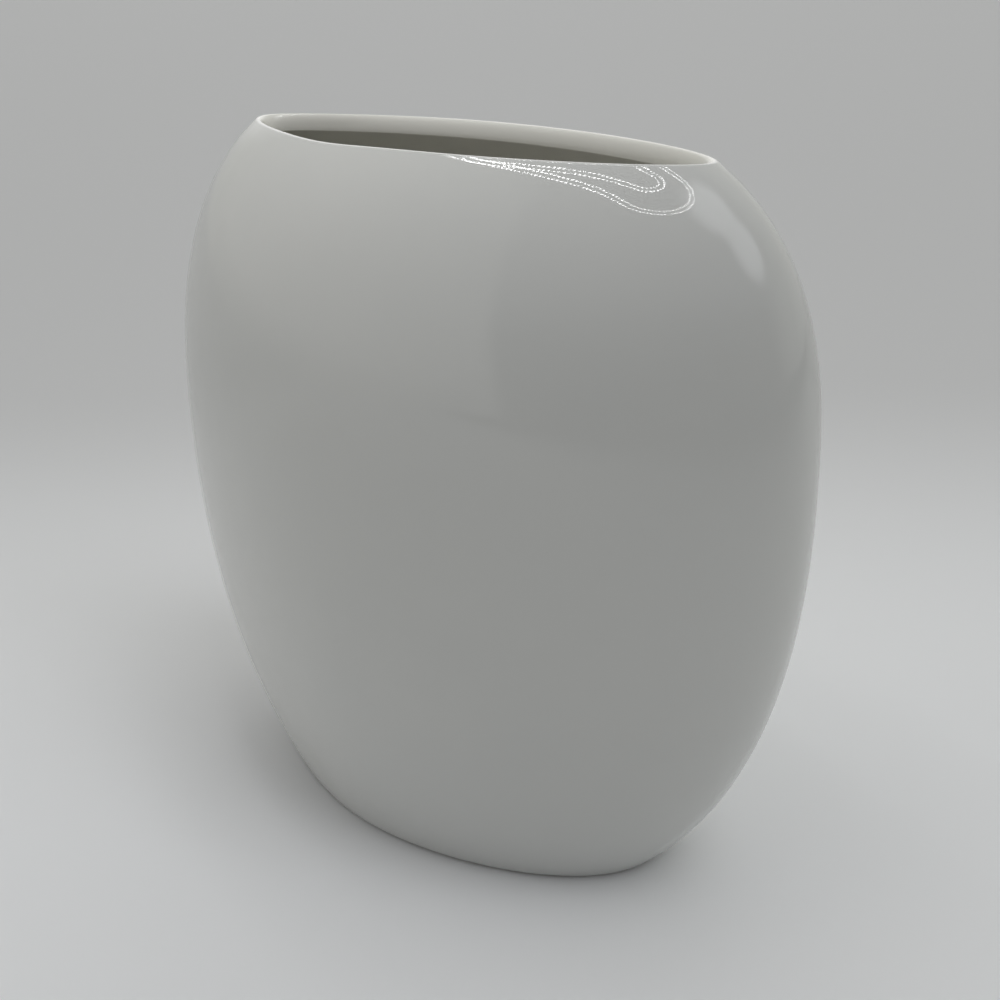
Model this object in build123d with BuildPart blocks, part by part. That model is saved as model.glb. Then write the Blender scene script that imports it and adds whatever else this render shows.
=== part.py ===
from build123d import *
import os
from math import cos, radians, sin, sqrt, tan

# A free-standing pillow vase: a flattened, swollen vessel with a long narrow mouth.
# Millimetres. X runs along the mouth, Y through the thickness, Z up from the ground under the foot.

# Overall finished sizes, glaze included
height = 200.0
belly_width = 233.0
belly_depth = 129.0
belly_height_share = 0.61
foot_width = 151.0
foot_depth = 92.0
mouth_width = 171.0
mouth_depth = 62.0

# How full the side curves are: 2 is an ellipse, more is squarer
lower_side_power = 2.2
upper_side_power = 2.9
lower_face_power = 2.2
upper_face_power = 2.0

# How full each level's outline is, as shares of its half depth and half width
foot_end_share = 0.57
foot_face_share = 0.42
mouth_end_share = 0.38
mouth_face_share = 0.48

# Walls and coats: the casting thickens over the shoulder towards the lip
clay_wall = 3.4
lip_clay_wall = 6.0
thickening_power = 3
glaze = 0.3
floor_thickness = 4.2
cavity_corner_radius = 9.0

# Foot
foot_edge_radius = 4.0
foot_ring_width = 6.0
recess_depth = 2.8
recess_lean = 3.0
bare_foot_height = 0.9

# Lip: its inner face goes straight down from a rounded crest, then flares to the underside of the shoulder
lip_width = 2.85
lip_outer_radius = 1.5
lip_inner_radius = 1.1
lip_face_height = 4.1
lip_lower_radius = 4.0
lip_lower_turn = 40.0
crest_depth = 0.7

# Levels that the walls are drawn through, as shares of the height
level_shares = (0.0, 0.04, 0.11, 0.21, 0.33, 0.46, 0.59, 0.71, 0.81, 0.89, 0.95, 1.0)

# The flare under the lip: the points it is drawn through, as shares of its turn, and its depth in lip walls
flare_shares = (0.0, 0.35, 0.7, 1.0)
flare_depth_share = 1.5

# How far a cutting form runs past what it cuts, and the rise over which a wall's slope is read
overrun = 2.0
slope_step = 0.1

belly_height = belly_height_share * height
wall = clay_wall + 2 * glaze
lip_wall = lip_clay_wall + 2 * glaze
cavity_floor = recess_depth + floor_thickness


def half_size(z, widest, at_foot, at_mouth, lower_power, upper_power):
    """Half a width or depth at height z: two superellipse arcs that meet upright at the belly."""
    if z < belly_height:
        power = lower_power
        reach = belly_height / (1 - (at_foot / widest) ** power) ** (1 / power)
    else:
        power = upper_power
        reach = (height - belly_height) / (1 - (at_mouth / widest) ** power) ** (1 / power)
    fall = abs(z - belly_height) / reach
    return widest / 2 * (1 - fall**power) ** (1 / power)


def half_width(z):
    return half_size(z, belly_width, foot_width, mouth_width, lower_side_power, upper_side_power)


def half_depth(z):
    return half_size(z, belly_depth, foot_depth, mouth_depth, lower_face_power, upper_face_power)


def inset_size(size_at, z, inset):
    """The half size at height z of the form that lies inset inside the finished outside, square to it."""
    slope = (size_at(z + slope_step) - size_at(z)) / slope_step
    return size_at(z) - inset * sqrt(1 + slope**2)


def level(z, inset):
    """One level of that form."""
    return outline_face(z, inset_size(half_width, z, inset), inset_size(half_depth, z, inset))


def outline_face(z, across, through):
    """A level outline: a cubic quarter, mirrored twice, square to each axis that it crosses."""
    share = z / height
    end_share = foot_end_share + (mouth_end_share - foot_end_share) * share
    face_share = foot_face_share + (mouth_face_share - foot_face_share) * share
    with BuildLine(Plane.XY.offset(z)) as outline:
        Bezier((across, 0), (across, end_share * through), (face_share * across, through), (0, through))
        mirror(about=Plane.YZ)
        mirror(about=Plane.XZ)
    return Face(outline.wires()[0])


def pillow_form(inset_at, bottom, top):
    """The solid that fills the vase to a surface lying inset_at(height) inside its finished outside."""
    heights = [bottom + share * (top - bottom) for share in level_shares]
    with BuildPart() as form:
        loft([level(z, inset_at(z)) for z in heights])
    return form.part


def wall_at(z):
    """The wall at height z, both coats included: even up to the belly, then thicker towards the lip."""
    rise = max(0, (z - belly_height) / (height - belly_height))
    return wall + (lip_wall - wall) * rise**thickening_power


def parting_at(z):
    """How deep in the wall the two coats part: halfway through at the foot, under the crest at the lip."""
    return wall / 2 + (crest_depth - wall / 2) * z / height


def mouth_outline(depth, inset):
    """The outline of the way in at this depth under the crest, inset from the mouth's outside edge."""
    return outline_face(height - depth, mouth_width / 2 - inset, mouth_depth / 2 - inset)


def mouth_form(coat):
    """The way in through the lip: straight down, then flared round the lip's lower edge."""
    radius = lip_lower_radius - coat
    centre_inset = lip_width - lip_lower_radius
    turns = [radians(lip_lower_turn) * share for share in flare_shares]
    flare = [(lip_face_height + radius * sin(turn), centre_inset + radius * cos(turn)) for turn in turns]
    last_depth, last_inset = flare[-1]
    end_depth = flare_depth_share * lip_wall
    flare.append((end_depth, last_inset - (end_depth - last_depth) * tan(turns[-1])))
    with BuildPart() as mouth:
        extrude(mouth_outline(lip_face_height, lip_width - coat), amount=lip_face_height + overrun)
        loft([mouth_outline(depth, inset) for depth, inset in flare])
    return mouth.part


def cavity_form(coat):
    """The space inside the vase, with a soft corner round its floor, open through the mouth."""
    with BuildPart() as cavity:
        add(pillow_form(lambda z: wall_at(z) - coat, cavity_floor - coat, height))
        fillet(cavity.faces().sort_by(Axis.Z)[0].edges(), cavity_corner_radius + coat)
        add(mouth_form(coat))
    return cavity.part


def recess_form(coat):
    """The shallow hollow under the floor that leaves the foot ring standing."""
    with BuildPart() as recess:
        at_ground = level(0, foot_ring_width - coat)
        at_top = level(recess_depth + coat, foot_ring_width + recess_lean - coat)
        loft([at_ground, at_top], ruled=True)
    return recess.part


def vessel_form(coat):
    """The whole hollow vase with a coat of this thickness taken off its outside, inside and recess."""
    with BuildPart() as vessel:
        add(pillow_form(lambda z: coat, 0, height - coat))
        fillet(vessel.faces().sort_by(Axis.Z)[0].edges(), foot_edge_radius)
        add(cavity_form(coat), mode=Mode.SUBTRACT)
        lip = vessel.faces().sort_by(Axis.Z)[-1]
        lip_outer_edges = lip.outer_wire().edges()
        fillet(lip.inner_wires()[0].edges(), lip_inner_radius - coat)
        fillet(lip_outer_edges, lip_outer_radius - coat)
        add(recess_form(coat), mode=Mode.SUBTRACT)
    return vessel.part


def coat_form():
    """All the glaze: what the glazed vase has over the bare one, down to the wiped foot."""
    with BuildPart() as coats:
        add(vessel_form(0))
        add(vessel_form(glaze), mode=Mode.SUBTRACT)
        split(bisect_by=Plane.XY.offset(bare_foot_height), keep=Keep.TOP)
    return coats.part


os.makedirs("parts", exist_ok=True)
coats = coat_form()
parting = pillow_form(parting_at, 0, height + overrun)
middle_of_floor = Plane.XY.offset((recess_depth + cavity_floor) / 2)

# The fired porcelain body: wall, floor, foot ring and lip in one casting
with BuildPart() as porcelain_body:
    add(vessel_form(glaze))
porcelain_body.part.label = "porcelain_body"
export_step(porcelain_body.part, "parts/porcelain_body.step")

# The outer coat, from the wiped foot up to the crest of the lip
with BuildPart() as outer_glaze:
    add(coats)
    add(parting, mode=Mode.SUBTRACT)
outer_glaze.part.label = "outer_glaze"
export_step(outer_glaze.part, "parts/outer_glaze.step")

# The inner coat, from the crest of the lip down the walls and over the floor
with BuildPart() as inner_glaze:
    add(coats)
    add(parting, mode=Mode.INTERSECT)
    split(bisect_by=middle_of_floor, keep=Keep.TOP)
inner_glaze.part.label = "inner_glaze"
export_step(inner_glaze.part, "parts/inner_glaze.step")

# The coat under the floor, inside the foot ring
with BuildPart() as base_glaze:
    add(coats)
    add(parting, mode=Mode.INTERSECT)
    split(bisect_by=middle_of_floor, keep=Keep.BOTTOM)
base_glaze.part.label = "base_glaze"
export_step(base_glaze.part, "parts/base_glaze.step")
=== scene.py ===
import bpy
import numpy as np
from math import acos, atan2, cos, pi, radians, sin
from mathutils import Matrix, Vector


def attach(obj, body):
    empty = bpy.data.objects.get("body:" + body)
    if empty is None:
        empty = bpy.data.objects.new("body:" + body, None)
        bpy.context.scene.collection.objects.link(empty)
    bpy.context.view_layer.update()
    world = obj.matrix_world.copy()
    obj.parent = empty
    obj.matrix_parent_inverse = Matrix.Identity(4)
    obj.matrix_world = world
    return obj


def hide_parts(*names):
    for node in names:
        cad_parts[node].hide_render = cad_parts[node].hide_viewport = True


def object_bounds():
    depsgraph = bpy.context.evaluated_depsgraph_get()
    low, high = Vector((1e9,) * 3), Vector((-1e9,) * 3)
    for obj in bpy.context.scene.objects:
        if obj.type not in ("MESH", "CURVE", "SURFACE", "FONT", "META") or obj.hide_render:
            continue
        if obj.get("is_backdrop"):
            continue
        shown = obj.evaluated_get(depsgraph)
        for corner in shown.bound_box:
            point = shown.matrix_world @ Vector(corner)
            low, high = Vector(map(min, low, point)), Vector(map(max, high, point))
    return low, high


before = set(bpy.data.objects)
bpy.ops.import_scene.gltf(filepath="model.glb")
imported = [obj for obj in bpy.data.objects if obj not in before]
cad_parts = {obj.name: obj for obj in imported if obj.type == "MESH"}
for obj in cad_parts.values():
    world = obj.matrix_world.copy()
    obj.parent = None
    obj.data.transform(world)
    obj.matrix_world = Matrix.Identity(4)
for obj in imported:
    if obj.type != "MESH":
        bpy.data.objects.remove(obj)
cad_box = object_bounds()

MM = 0.001
UP = (0.0, 0.0, 1.0)

# The vase's form, in millimetres, as in the part's own source
HEIGHT = 200.0
BELLY_WIDTH, BELLY_DEPTH, BELLY_HEIGHT = 233.0, 129.0, 122.0
FOOT_WIDTH, FOOT_DEPTH = 151.0, 92.0
MOUTH_WIDTH, MOUTH_DEPTH = 171.0, 62.0
WALL, LIP_WALL, THICKENING_POWER = 4.0, 6.6, 3
GLAZE = 0.3
CAVITY_FLOOR = 7.0
CAVITY_CORNER = 9.0
FOOT_EDGE = 4.0
FOOT_RING = 6.0
RECESS = 2.8
RECESS_LEAN = 3.0
BARE_FOOT = 0.9
LIP_WIDTH, LIP_OUTER, LIP_LOWER = 2.85, 1.5, 1.6
SLOPE_STEP = 0.1

# How full the curves are: powers below and above the belly, then the outlines' shares at foot and mouth
SIDE_POWERS, FACE_POWERS = (2.2, 2.9), (2.2, 2.0)
END_SHARES, FACE_SHARES = (0.57, 0.38), (0.42, 0.48)

# The roll of the lip into the mouth: how far it reaches inwards and down
ROLL_IN, ROLL_DOWN = 2.3, 5.0

# The slight pull of the firing on the rim: where it starts, then how much, where along X and how wide
WARP_FROM = 120.0
SWELL, SWELL_AT, SWELL_REACH = 1.3, -42.0, 30.0
PINCH, PINCH_AT, PINCH_REACH = 0.5, 25.0, 45.0
SAG, SAG_AT, SAG_REACH = 0.65, -22.0, 20.0
SAG_POWER, SAG_FULL_AT = 3, 20.0

# Mesh density, and the angle past which an edge is sharp
QUARTER = 40
WALL_ROWS = 44
FOOT_ROWS = 7
LIP_OUTER_ROWS = 6
ROLL_ROWS = 14
LIP_LOWER_ROWS = 8
CORNER_ROWS = 7
FLOOR_SHARES = (0.15, 0.35, 0.6, 0.85)
RECESS_SHARES = (0.0, 0.35, 0.7, 1.0)
SHARP_ANGLE = 35

# The search for the row under the lip: how far down it starts, in lip walls, and its halvings
SEARCH_WALLS, HALVINGS = 3, 30


def half_size(z, widest, at_foot, at_mouth, powers):
    """Half a width or depth at height z: two superellipse arcs that meet upright at the belly."""
    z = np.asarray(z, float)
    low, high = powers
    low_reach = BELLY_HEIGHT / (1 - (at_foot / widest) ** low) ** (1 / low)
    high_reach = (HEIGHT - BELLY_HEIGHT) / (1 - (at_mouth / widest) ** high) ** (1 / high)
    below = np.clip((BELLY_HEIGHT - z) / low_reach, 0, 1)
    above = np.clip((z - BELLY_HEIGHT) / high_reach, 0, 1)
    lower = (1 - below**low) ** (1 / low)
    upper = (1 - above**high) ** (1 / high)
    return widest / 2 * np.where(z < BELLY_HEIGHT, lower, upper)


def half_width(z):
    return half_size(z, BELLY_WIDTH, FOOT_WIDTH, MOUTH_WIDTH, SIDE_POWERS)


def half_depth(z):
    return half_size(z, BELLY_DEPTH, FOOT_DEPTH, MOUTH_DEPTH, FACE_POWERS)


def inset_size(size_at, z, inset):
    """The half size at height z of the form that lies inset inside the finished outside, square to it."""
    slope = (size_at(z + SLOPE_STEP) - size_at(z)) / SLOPE_STEP
    return size_at(z) - inset * np.sqrt(1 + slope**2)


# Columns run round the outline: a cubic quarter, mirrored into the other three
steps = np.arange(4 * QUARTER)
share_of_quarter = (steps % QUARTER) / QUARTER
quarter = steps // QUARTER
TAU = np.where(quarter % 2 == 0, share_of_quarter, 1 - share_of_quarter)
SIGN_X = np.where((quarter == 0) | (quarter == 3), 1.0, -1.0)
SIGN_Y = np.where(quarter < 2, 1.0, -1.0)


def per_column(z):
    """A height for each column, from one number or from as many."""
    return np.broadcast_to(np.asarray(z, float), TAU.shape)


def outline(z, across, through):
    """One row of points round a level outline of these half sizes."""
    share = z / HEIGHT
    end = END_SHARES[0] + (END_SHARES[1] - END_SHARES[0]) * share
    face = FACE_SHARES[0] + (FACE_SHARES[1] - FACE_SHARES[0]) * share
    rest = 1 - TAU
    b0, b1, b2, b3 = rest**3, 3 * rest**2 * TAU, 3 * rest * TAU**2, TAU**3
    x = across * (b0 + b1 + b2 * face)
    y = through * (b1 * end + b2 + b3)
    return np.stack([SIGN_X * x, SIGN_Y * y, z], 1)


def surface(z, inset_at):
    """One row of points at height z on the form inset by a number, or by a function of the height."""
    z = per_column(z)
    inset = inset_at(z) if callable(inset_at) else inset_at
    return outline(z, inset_size(half_width, z, inset), inset_size(half_depth, z, inset))


def mouth_row(z, inset):
    """The way in through the lip at height z, inset from the outside edge of the mouth."""
    return outline(per_column(z), MOUTH_WIDTH / 2 - inset, MOUTH_DEPTH / 2 - inset)


def unit(vectors):
    return vectors / np.linalg.norm(vectors, axis=1, keepdims=True)


def outward(row):
    """The level unit vectors square to a closed row, pointing out."""
    along = np.roll(row, -1, 0) - np.roll(row, 1, 0)
    return unit(np.stack([along[:, 1], -along[:, 0], np.zeros(len(row))], 1))


def wall_direction(edge, inset_at, rise):
    """Unit vectors from a row along its wall, square to the outline: up where rise is 1, down where -1."""
    out = outward(edge)
    step = surface(edge[:, 2] + SLOPE_STEP * rise, inset_at) - surface(edge[:, 2], inset_at)
    reach = (step * out).sum(1) / SLOPE_STEP
    length = np.sqrt(1 + reach**2)
    return out * (reach / length)[:, None] + np.array(UP) * (rise / length)[:, None]


def rounded(edge, first, second, radius, count):
    """The arc that rounds a row of edge points, from the face that lies along first to that along second."""
    half = np.arccos(np.clip((first * second).sum(1), -1, 1)) / 2
    centre = edge + unit(first + second) * (radius / np.sin(half))[:, None]
    tangent = (radius / np.tan(half))[:, None]
    start = edge + first * tangent - centre
    finish = edge + second * tangent - centre
    turn = pi - 2 * half
    rows = []
    for k in range(count + 1):
        angle = turn * k / count
        mixed = start * np.sin(turn - angle)[:, None] + finish * np.sin(angle)[:, None]
        rows.append(centre + mixed / np.sin(turn)[:, None])
    return rows


def wall_rows(start, finish, inset_at):
    """The rows of a wall between two rows, both left out."""
    z_from, z_to = start[:, 2], finish[:, 2]
    shares = np.arange(1, WALL_ROWS) / WALL_ROWS
    return [surface(z_from + (z_to - z_from) * s, inset_at) for s in shares]


def wall_at(z):
    """The wall at height z, both coats included: even up to the belly, then thicker towards the lip."""
    rise = np.clip((z - BELLY_HEIGHT) / (HEIGHT - BELLY_HEIGHT), 0, None)
    return WALL + (LIP_WALL - WALL) * rise**THICKENING_POWER


def shrinking(row, z):
    """Level rows at height z that shrink towards the axis."""
    rows = []
    for s in FLOOR_SHARES:
        inner = row * np.array([1 - s, 1 - s, 0])
        inner[:, 2] = z
        rows.append(inner)
    return rows


def under_lip(coat, inset_at):
    """The row where the lip's upright inner face meets the underside of the shoulder, as a sharp edge."""
    low = np.full(TAU.shape, HEIGHT - SEARCH_WALLS * LIP_WALL)
    high = np.full(TAU.shape, HEIGHT)
    for _ in range(HALVINGS):
        z = (low + high) / 2
        face = mouth_row(z, LIP_WIDTH - coat)
        wider = ((surface(z, inset_at) - face) * outward(face)).sum(1) > 0
        low, high = np.where(wider, z, low), np.where(wider, high, z)
    return mouth_row(low, LIP_WIDTH - coat)


def lip_roll(coat):
    """Rows over the roll of the lip, from its crest to where its inner face stands upright."""
    rows = []
    for turn in np.linspace(0, pi / 2, ROLL_ROWS + 1):
        inset = LIP_WIDTH - ROLL_IN + (ROLL_IN - coat) * sin(turn)
        rows.append(mouth_row(HEIGHT - ROLL_DOWN + (ROLL_DOWN - coat) * cos(turn), inset))
    return rows


def sections(coat):
    """All the rows of the vessel with a coat taken off, from the foot's edge over the lip to the recess."""
    def cavity(z):
        return wall_at(z) - coat

    ground = surface(0, coat)
    foot = rounded(ground, -outward(ground), wall_direction(ground, coat, 1), FOOT_EDGE, FOOT_ROWS)
    top = surface(HEIGHT - coat, coat)
    top_down = wall_direction(top, coat, -1)
    lip_out = rounded(top, top_down, -outward(top), LIP_OUTER - coat, LIP_OUTER_ROWS)
    upright = np.broadcast_to(UP, (len(TAU), 3))
    under = under_lip(coat, cavity)
    under_down = wall_direction(under, cavity, -1)
    lip_in = lip_roll(coat) + rounded(under, upright, under_down, LIP_LOWER - coat, LIP_LOWER_ROWS)
    floor_z = CAVITY_FLOOR - coat
    edge = surface(floor_z, cavity)
    edge_up = wall_direction(edge, cavity, 1)
    corner = rounded(edge, edge_up, -outward(edge), CAVITY_CORNER + coat, CORNER_ROWS)
    recess_low = surface(0, FOOT_RING - coat)
    recess_high = surface(RECESS + coat, FOOT_RING + RECESS_LEAN - coat)
    return {
        "foot": foot,
        "outer": wall_rows(foot[-1], lip_out[0], coat),
        "lip_out": lip_out,
        "crest": [(lip_out[-1] + lip_in[0]) / 2],
        "lip_in": lip_in,
        "inner": wall_rows(lip_in[-1], corner[0], cavity),
        "floor": corner + shrinking(corner[-1], floor_z),
        "recess": [recess_low + (recess_high - recess_low) * s for s in RECESS_SHARES],
        "under": shrinking(recess_high, RECESS + coat),
    }


def bell(x, at, reach):
    return np.exp(-(((x - at) / reach) ** 2))


def warp(points):
    """The slight pull of the firing on the mouth, and the sag of its near edge."""
    x, y, z = points.T
    rise = np.clip((z - WARP_FROM) / (HEIGHT - WARP_FROM), 0, 1)
    rise = rise * rise * (3 - 2 * rise)
    swell = SWELL * bell(x, SWELL_AT, SWELL_REACH) - PINCH * bell(x, PINCH_AT, PINCH_REACH)
    sag = SAG * bell(x, SAG_AT, SAG_REACH) * np.clip(-y / SAG_FULL_AT, 0, 1)
    half_mouth = MOUTH_DEPTH / 2
    slimness = np.clip(half_mouth / np.maximum(half_depth(z), 1), 0, 1)
    moved = points.copy()
    moved[:, 2] -= sag * rise**SAG_POWER
    moved[:, 1] += swell * rise * y / half_mouth * slimness
    return moved


def placed(name, points, faces):
    """A mesh object of these points and faces, in the scene."""
    mesh = bpy.data.meshes.new(name)
    mesh.from_pydata(points, [], faces)
    mesh.validate()
    thing = bpy.data.objects.new(name, mesh)
    bpy.context.scene.collection.objects.link(thing)
    return thing


def skin(name, rows, loop=False):
    """A closed mesh through rows of equal length: a loop joins last to first, else both ends are filled."""
    count = len(rows[0])
    points = warp(np.concatenate(rows)) * MM
    faces = []
    pairs = list(zip(range(len(rows) - 1), range(1, len(rows))))
    if loop:
        pairs.append((len(rows) - 1, 0))
    for low, high in pairs:
        for j in range(count):
            k = (j + 1) % count
            faces.append((low * count + j, low * count + k, high * count + k, high * count + j))
    if not loop:
        last = (len(rows) - 1) * count
        faces.append(tuple(reversed(range(count))))
        faces.append(tuple(range(last, last + count)))
    piece = placed(name, points.tolist(), faces)
    piece.data.shade_smooth()
    piece.data.set_sharp_from_angle(angle=radians(SHARP_ANGLE))
    return piece


def cut_above(rows, z):
    """The rows of a rising run from height z up, the first of them lying on z."""
    first = next(i for i, row in enumerate(rows) if row[:, 2].min() > z)
    below, above = rows[first - 1], rows[first]
    share = ((z - below[:, 2]) / (above[:, 2] - below[:, 2]))[:, None]
    return [below + (above - below) * share] + rows[first:]


def outer_rows(form):
    """From the wiped foot to the crest of the lip."""
    return cut_above(form["foot"], BARE_FOOT) + form["outer"] + form["lip_out"] + form["crest"]


def inner_rows(form):
    """From the crest of the lip to the middle of the floor."""
    return form["crest"] + form["lip_in"] + form["inner"] + form["floor"]


def base_rows(form):
    """From the wiped foot ring to the middle of the recess."""
    return cut_above(form["recess"], BARE_FOOT) + form["under"]


bare = sections(GLAZE)
glazed = sections(0.0)
below_crest = bare["under"][::-1] + bare["recess"][::-1] + bare["foot"] + bare["outer"] + bare["lip_out"]
outer_skin = skin("outer_glaze_skin", outer_rows(glazed) + outer_rows(bare)[::-1], loop=True)
inner_skin = skin("inner_glaze_skin", inner_rows(bare)[::-1] + inner_rows(glazed))
base_skin = skin("base_glaze_skin", base_rows(glazed)[::-1] + base_rows(bare))
casting = skin("porcelain_casting", below_crest + inner_rows(bare))


# Materials. A noise is its scale per metre, detail and, in one, roughness; heights are in metres.
CLOUD_NOISE, CLOUD_RANGE = (14.0, 3.0), (0.35, 0.65)
SPECK, SPECK_CELLS, SPECK_EDGE = (0.2, 0.19, 0.17), 70.0, (0.012, 0.026)
SPECK_RARITY, SPECK_DEPTH = (0.93, 0.95), 0.75
POLISH_NOISE, POLISH_RANGE, POLISH_ROUGHNESS = (30.0, 2.0), (0.3, 0.7), (0.02, 0.035)
WAVE_NOISE, WAVE_HEIGHT = (22.0, 1.0), 0.00035
PEEL_NOISE, PEEL_HEIGHT = (420.0, 1.0), 0.000004
BARE_ROUGHNESS, BARE_NOISE, BARE_RANGE = 0.75, (160.0, 5.0, 0.7), (0.35, 0.7)
GRAIN_NOISE, GRAIN_HEIGHT = (1500.0, 3.0), 0.00003
PAPER_ROUGHNESS, PAPER_NOISE, PAPER_RANGE = 0.85, (2.0, 2.0), (0.3, 0.7)
FIBRE_NOISE, FIBRE_HEIGHT = (900.0, 2.0), 0.00002

# Each slot's colour and the tint that clouds it
OUTER_GLAZE = ((0.63, 0.633, 0.613), (0.616, 0.621, 0.604))
# The inner glaze is the same glaze as the outer one, given a lighter colour: painted light inside the mouth
INNER_GLAZE_PAINTED_LIGHTER = ((0.80, 0.79, 0.74), (0.785, 0.778, 0.728))
BASE_GLAZE = ((0.64, 0.636, 0.615), (0.625, 0.625, 0.605))
BARE_PORCELAIN = ((0.6, 0.585, 0.55), (0.52, 0.5, 0.46))

# A mix node's two colours and its result, by number because its other kinds use the same names
MIX_COLOURS, MIX_RESULT = (6, 7), 2


class Nodes:
    """The node tree of a material or of the world, with short calls for what they share."""

    def __init__(self, owner, output, place):
        owner.use_nodes = True
        self.tree = owner.node_tree
        self.tree.nodes.clear()
        self.surface = self.add(output).inputs["Surface"]
        self.place = self.add("ShaderNodeTexCoord").outputs[place]

    def add(self, kind, **values):
        node = self.tree.nodes.new(kind)
        for key, value in values.items():
            setattr(node, key, value)
        return node

    def link(self, source, target):
        self.tree.links.new(source, target)

    def noise(self, scale, detail, roughness=0.5):
        node = self.add("ShaderNodeTexNoise")
        for key, number in (("Scale", scale), ("Detail", detail), ("Roughness", roughness)):
            node.inputs[key].default_value = number
        self.link(self.place, node.inputs["Vector"])
        return node.outputs["Fac"]

    def ranged(self, value, low, high, to_low=0.0, to_high=1.0):
        """The value taken softly from one range to another."""
        node = self.add("ShaderNodeMapRange", interpolation_type="SMOOTHSTEP")
        self.link(value, node.inputs["Value"])
        ends = (("From Min", low), ("From Max", high), ("To Min", to_low), ("To Max", to_high))
        for key, number in ends:
            node.inputs[key].default_value = number
        return node.outputs["Result"]

    def facing(self, direction, edge):
        """How far the place lies in a direction, from 0 to 1 over a soft edge."""
        node = self.add("ShaderNodeVectorMath", operation="DOT_PRODUCT")
        self.link(self.place, node.inputs[0])
        node.inputs[1].default_value = direction
        return self.ranged(node.outputs["Value"], *edge)

    def reckoned(self, operation, first, second):
        """Two shares put together, kept between 0 and 1."""
        node = self.add("ShaderNodeMath", operation=operation, use_clamp=True)
        self.link(first, node.inputs[0])
        self.link(second, node.inputs[1])
        return node.outputs[0]

    def mixed(self, share, first, second):
        node = self.add("ShaderNodeMix", data_type="RGBA")
        self.link(share, node.inputs["Factor"])
        for key, colour in zip(MIX_COLOURS, (first, second)):
            if isinstance(colour, tuple):
                node.inputs[key].default_value = (*colour, 1)
            else:
                self.link(colour, node.inputs[key])
        return node.outputs[MIX_RESULT]

    def bumped(self, height, distance, over=None):
        node = self.add("ShaderNodeBump")
        node.inputs["Distance"].default_value = distance
        node.inputs["Strength"].default_value = 1.0
        self.link(height, node.inputs["Height"])
        if over is not None:
            self.link(over, node.inputs["Normal"])
        return node.outputs["Normal"]

    def in_view(self):
        """1 where the camera looks at the place itself, 0 in what lights it or is reflected in it."""
        return self.add("ShaderNodeLightPath").outputs["Is Camera Ray"]


def material_nodes(name):
    """A new material and its nodes."""
    material = bpy.data.materials.new(name)
    return material, Nodes(material, "ShaderNodeOutputMaterial", "Object")


def glaze_material(name, colour, tint):
    """Glossy white glaze: faint clouding, rare specks, a slightly wavy surface and an even polish."""
    material, n = material_nodes(name)
    shader = n.add("ShaderNodeBsdfPrincipled")
    cells = n.add("ShaderNodeTexVoronoi")
    cells.inputs["Scale"].default_value = SPECK_CELLS
    n.link(n.place, cells.inputs["Vector"])
    pick = n.add("ShaderNodeSeparateColor")
    n.link(cells.outputs["Color"], pick.inputs["Color"])
    dot = n.ranged(cells.outputs["Distance"], *SPECK_EDGE, 1.0, 0.0)
    rare = n.ranged(pick.outputs["Red"], *SPECK_RARITY, 0.0, SPECK_DEPTH)
    clouded = n.mixed(n.ranged(n.noise(*CLOUD_NOISE), *CLOUD_RANGE), colour, tint)
    n.link(n.mixed(n.reckoned("MULTIPLY", dot, rare), clouded, SPECK), shader.inputs["Base Color"])
    polish = n.ranged(n.noise(*POLISH_NOISE), *POLISH_RANGE, *POLISH_ROUGHNESS)
    n.link(polish, shader.inputs["Roughness"])
    wave = n.bumped(n.noise(*WAVE_NOISE), WAVE_HEIGHT)
    n.link(n.bumped(n.noise(*PEEL_NOISE), PEEL_HEIGHT, over=wave), shader.inputs["Normal"])
    n.link(shader.outputs["BSDF"], n.surface)
    return material


def bare_material(name, colour, tint):
    """Fired porcelain with no glaze: matt, with a fine grain and a little grime of use."""
    material, n = material_nodes(name)
    shader = n.add("ShaderNodeBsdfPrincipled")
    shader.inputs["Roughness"].default_value = BARE_ROUGHNESS
    grimy = n.mixed(n.ranged(n.noise(*BARE_NOISE), *BARE_RANGE), colour, tint)
    n.link(grimy, shader.inputs["Base Color"])
    n.link(n.bumped(n.noise(*GRAIN_NOISE), GRAIN_HEIGHT), shader.inputs["Normal"])
    n.link(shader.outputs["BSDF"], n.surface)
    return material


outer_glaze = glaze_material("outer_glaze", *OUTER_GLAZE)
# Lighter than the outer glaze: painted light inside the mouth
inner_glaze = glaze_material("inner_glaze", *INNER_GLAZE_PAINTED_LIGHTER)
base_glaze = glaze_material("base_glaze", *BASE_GLAZE)
bare_porcelain = bare_material("bare_porcelain", *BARE_PORCELAIN)

PIECES = (
    (casting, "porcelain_body", "bare_porcelain", bare_porcelain),
    (outer_skin, "outer_glaze", "outer_glaze", outer_glaze),
    (inner_skin, "inner_glaze", "inner_glaze", inner_glaze),
    (base_skin, "base_glaze", "base_glaze", base_glaze),
)
for piece, node, slot, material in PIECES:
    piece.data.materials.append(material)
    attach(piece, "root")
    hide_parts(node)
    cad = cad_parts[node]
    for index in range(len(cad.material_slots)):
        cad.material_slots[index].material = material


# Floor: one plain pale sheet, a little darker far behind the vase, which is painted shade of the light
# falling off, and dark in front where only the glaze's reflection shows it, which is painted shade and a
# painted dark reflection
FLOOR_REACH = 14.0
FLOOR_PARTS = 56
FLOOR_NEAR = ((0.83, 0.837, 0.847), (0.82, 0.827, 0.837))
FLOOR_FAR_PAINTED_SHADE, FAR_AXIS, FAR_EDGE = (0.62, 0.622, 0.626), (-0.7228, 0.6911, 0.0), (0.05, 0.43)
FLOOR_FRONT_PAINTED_SHADE, FRONT_AXIS, FRONT_EDGE = (0.1, 0.1, 0.1), (0.97, -0.24, 0.0), (0.3, 1.1)


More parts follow.
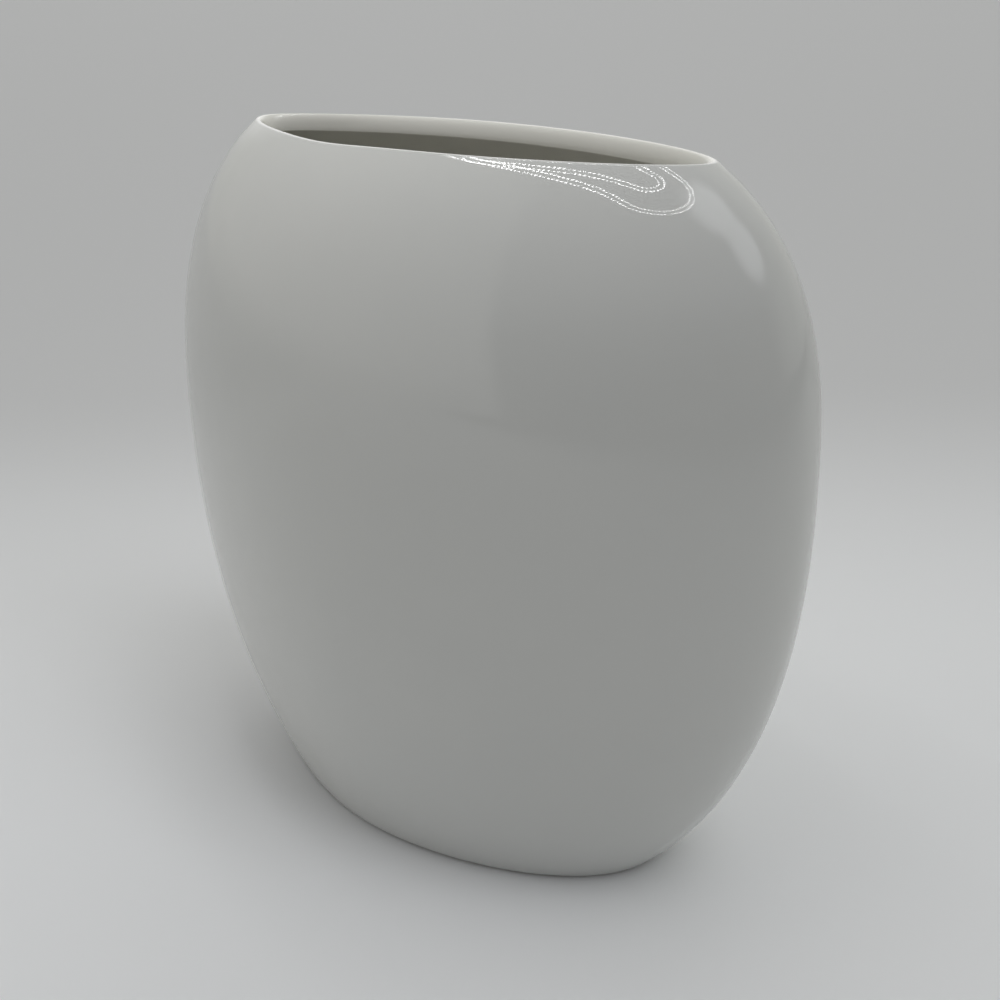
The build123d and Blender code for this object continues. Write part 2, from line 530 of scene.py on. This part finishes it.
def floor():
    """A square grid on the ground."""
    side = np.linspace(-FLOOR_REACH, FLOOR_REACH, FLOOR_PARTS + 1)
    count = len(side)
    faces = []
    for row in range(FLOOR_PARTS):
        for column in range(FLOOR_PARTS):
            first = row * count + column
            faces.append((first, first + 1, first + count + 1, first + count))
    sheet = placed("studio_floor", [(x, y, 0.0) for y in side for x in side], faces)
    material, n = material_nodes("studio_paper")
    shader = n.add("ShaderNodeBsdfPrincipled")
    shader.inputs["Roughness"].default_value = PAPER_ROUGHNESS
    near = n.mixed(n.ranged(n.noise(*PAPER_NOISE), *PAPER_RANGE), *FLOOR_NEAR)
    # Painted shade: the sheet turns darker far behind the vase
    colour = n.mixed(n.facing(FAR_AXIS, FAR_EDGE), near, FLOOR_FAR_PAINTED_SHADE)
    # Painted shade: in front of the vase the floor is dark for what lights the vase and is reflected in its
    # glaze
    painted_front_shade = n.reckoned("SUBTRACT", n.facing(FRONT_AXIS, FRONT_EDGE), n.in_view())
    n.link(n.mixed(painted_front_shade, colour, FLOOR_FRONT_PAINTED_SHADE), shader.inputs["Base Color"])
    n.link(n.bumped(n.noise(*FIBRE_NOISE), FIBRE_HEIGHT), shader.inputs["Normal"])
    n.link(shader.outputs["BSDF"], n.surface)
    sheet.data.materials.append(material)
    sheet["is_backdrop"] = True


floor()


# A lamp overhead: two long loops of light beads, each a double row, that narrow towards -X
LAMP_HEIGHT = 0.44
LAMP_LOOPS = (
    # right end's centre along X and Y and its radius, then the left end's, for the inner row of each loop
    ((0.098, -0.066), 0.0535, (-0.127, -0.010), 0.030),
    ((0.072, -0.056), 0.0175, (-0.100, -0.021), 0.030),
)
ROW_GAP = 0.0085
BEAD_PITCH, BEAD_RADIUS, BEAD_SIDES = 0.0055, 0.0016, 6
BEAD_LIGHT = 22.0


def loop_points(right_end, right_radius, left_end, left_radius):
    """Points a bead's pitch apart round the belt over two circles."""
    right, left = Vector(right_end), Vector(left_end)
    reach = right - left
    heading = atan2(reach.y, reach.x)
    lean = acos((left_radius - right_radius) / reach.length)

    def rim(centre, radius, angle):
        return centre + Vector((cos(angle), sin(angle))) * radius

    corners = []
    for centre, radius, start, turn in (
        (right, right_radius, heading - lean, 2 * lean),
        (left, left_radius, heading + lean, 2 * (pi - lean)),
    ):
        parts = max(2, int(radius * turn / BEAD_PITCH))
        corners += [rim(centre, radius, start + turn * k / parts) for k in range(parts + 1)]
    for start, finish in zip(corners, corners[1:] + corners[:1]):
        parts = max(1, round((finish - start).length / BEAD_PITCH))
        for k in range(parts):
            yield start.lerp(finish, k / parts)


def lamp():
    """The beads as small flat faces that light the side below them and let light through from above."""
    points, faces = [], []
    for right, right_radius, left, left_radius in LAMP_LOOPS:
        for gap in (0, ROW_GAP):
            for middle in loop_points(right, right_radius + gap, left, left_radius + gap):
                first = len(points)
                for k in range(BEAD_SIDES):
                    angle = -2 * pi * k / BEAD_SIDES
                    across, along = BEAD_RADIUS * cos(angle), BEAD_RADIUS * sin(angle)
                    points.append((middle.x + across, middle.y + along, LAMP_HEIGHT))
                faces.append(tuple(range(first, first + BEAD_SIDES)))
    beads = placed("lamp_beads", points, faces)
    material, n = material_nodes("lamp_beads")
    light = n.add("ShaderNodeEmission")
    light.inputs["Strength"].default_value = BEAD_LIGHT
    clear = n.add("ShaderNodeBsdfTransparent")
    choose = n.add("ShaderNodeMixShader")
    n.link(n.add("ShaderNodeNewGeometry").outputs["Backfacing"], choose.inputs[0])
    n.link(light.outputs[0], choose.inputs[1])
    n.link(clear.outputs[0], choose.inputs[2])
    n.link(choose.outputs[0], n.surface)
    beads.data.materials.append(material)
    beads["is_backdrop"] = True


lamp()


# Soft light from all round: an even tent that is brighter to one side, comes down to the floor's level at
# the skyline and is dim overhead, with a low light behind, a window of two panes and a dim opening in front.
# The camera itself sees a plain distance instead. Edges are the cosines between which each part fades in.
TENT = (0.57, 0.573, 0.54)
SIDE, SIDE_AT, SIDE_EDGE = (0.72, 0.715, 0.69), (-0.68, -0.71, 0.17), (0.5, 0.95)
SKYLINE, SKYLINE_EDGE = (0.5, 0.503, 0.485), (0.0, 0.18)
CEILING, CEILING_EDGE = (0.3, 0.3, 0.31), (0.84, 0.98)
OPENING, OPENING_TOP_EDGE = (0.05, 0.05, 0.05), (0.3, 0.6)
OPENING_LEFT, OPENING_LEFT_EDGE = (0.942, 0.042, 0.332), (-0.02, 0.05)
OPENING_RIGHT, OPENING_RIGHT_EDGE = (0.174, -0.985, 0.0), (-0.3, 0.15)
BACK, BACK_AT, BACK_EDGE = (1.15, 1.15, 1.14), (-0.66, 0.62, 0.424), (0.86, 0.97)
WINDOW, WINDOW_EDGE = (2.2, 2.25, 2.3), (0.955, 0.992)
WINDOW_PANES = ((0.67, 0.11, 0.734), (0.38, 0.0, 0.925))
DISTANCE = (0.5, 0.505, 0.51)


def studio_light():
    """The sky of soft light, as the world's background."""
    world = bpy.data.worlds.new("studio")
    bpy.context.scene.world = world
    n = Nodes(world, "ShaderNodeOutputWorld", "Generated")
    sky = n.mixed(n.facing(SIDE_AT, SIDE_EDGE), TENT, SIDE)
    sky = n.mixed(n.facing(UP, SKYLINE_EDGE), SKYLINE, sky)
    sky = n.mixed(n.facing(UP, CEILING_EDGE), sky, CEILING)
    left_edge = n.facing(OPENING_LEFT, OPENING_LEFT_EDGE)
    right_edge = n.facing(OPENING_RIGHT, OPENING_RIGHT_EDGE)
    front = n.mixed(n.facing(UP, OPENING_TOP_EDGE), OPENING, CEILING)
    sky = n.mixed(n.reckoned("MULTIPLY", left_edge, right_edge), sky, front)
    sky = n.mixed(n.facing(BACK_AT, BACK_EDGE), sky, BACK)
    for pane in WINDOW_PANES:
        sky = n.mixed(n.facing(pane, WINDOW_EDGE), sky, WINDOW)
    background = n.add("ShaderNodeBackground")
    n.link(n.mixed(n.in_view(), sky, DISTANCE), background.inputs["Color"])
    n.link(background.outputs["Background"], n.surface)


studio_light()


# Camera: where the photograph was taken from, in heights of the vase and in radians, found from the outline
CAMERA_AT = (1.35881785, -1.29950857, 1.21993967)
YAW, PITCH, ROLL = 0.77895058, 0.38349671, -0.01164736
FOCAL_PIXELS, FRAME_PIXELS, SENSOR = 1336.06, 1000, 36.0
NEAREST, FARTHEST = 0.01, 3 * FLOOR_REACH

forward = Vector((-sin(YAW) * cos(PITCH), cos(YAW) * cos(PITCH), -sin(PITCH)))
level_right = forward.cross(Vector(UP)).normalized()
level_up = level_right.cross(forward)
right = level_right * cos(ROLL) + level_up * sin(ROLL)
up = level_up * cos(ROLL) - level_right * sin(ROLL)
camera = bpy.data.objects.new("camera", bpy.data.cameras.new("camera"))
camera.data.sensor_width = SENSOR
camera.data.lens = SENSOR * FOCAL_PIXELS / FRAME_PIXELS
camera.data.clip_start = NEAREST
camera.data.clip_end = FARTHEST
turned = Matrix((right, up, -forward)).transposed().to_4x4()
camera.matrix_world = Matrix.Translation(Vector(CAMERA_AT) * HEIGHT * MM) @ turned
bpy.context.scene.collection.objects.link(camera)
bpy.context.scene.camera = camera
bpy.context.scene.view_settings.view_transform = "Standard"


def plain(bounds):
    """Bounds as plain lists of numbers."""
    if isinstance(bounds, (int, float)):
        return float(bounds)
    if isinstance(bounds, dict):
        return {key: plain(value) for key, value in bounds.items()}
    return [plain(value) for value in bounds]


{"cad": plain(cad_box), "visual": plain(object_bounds())}
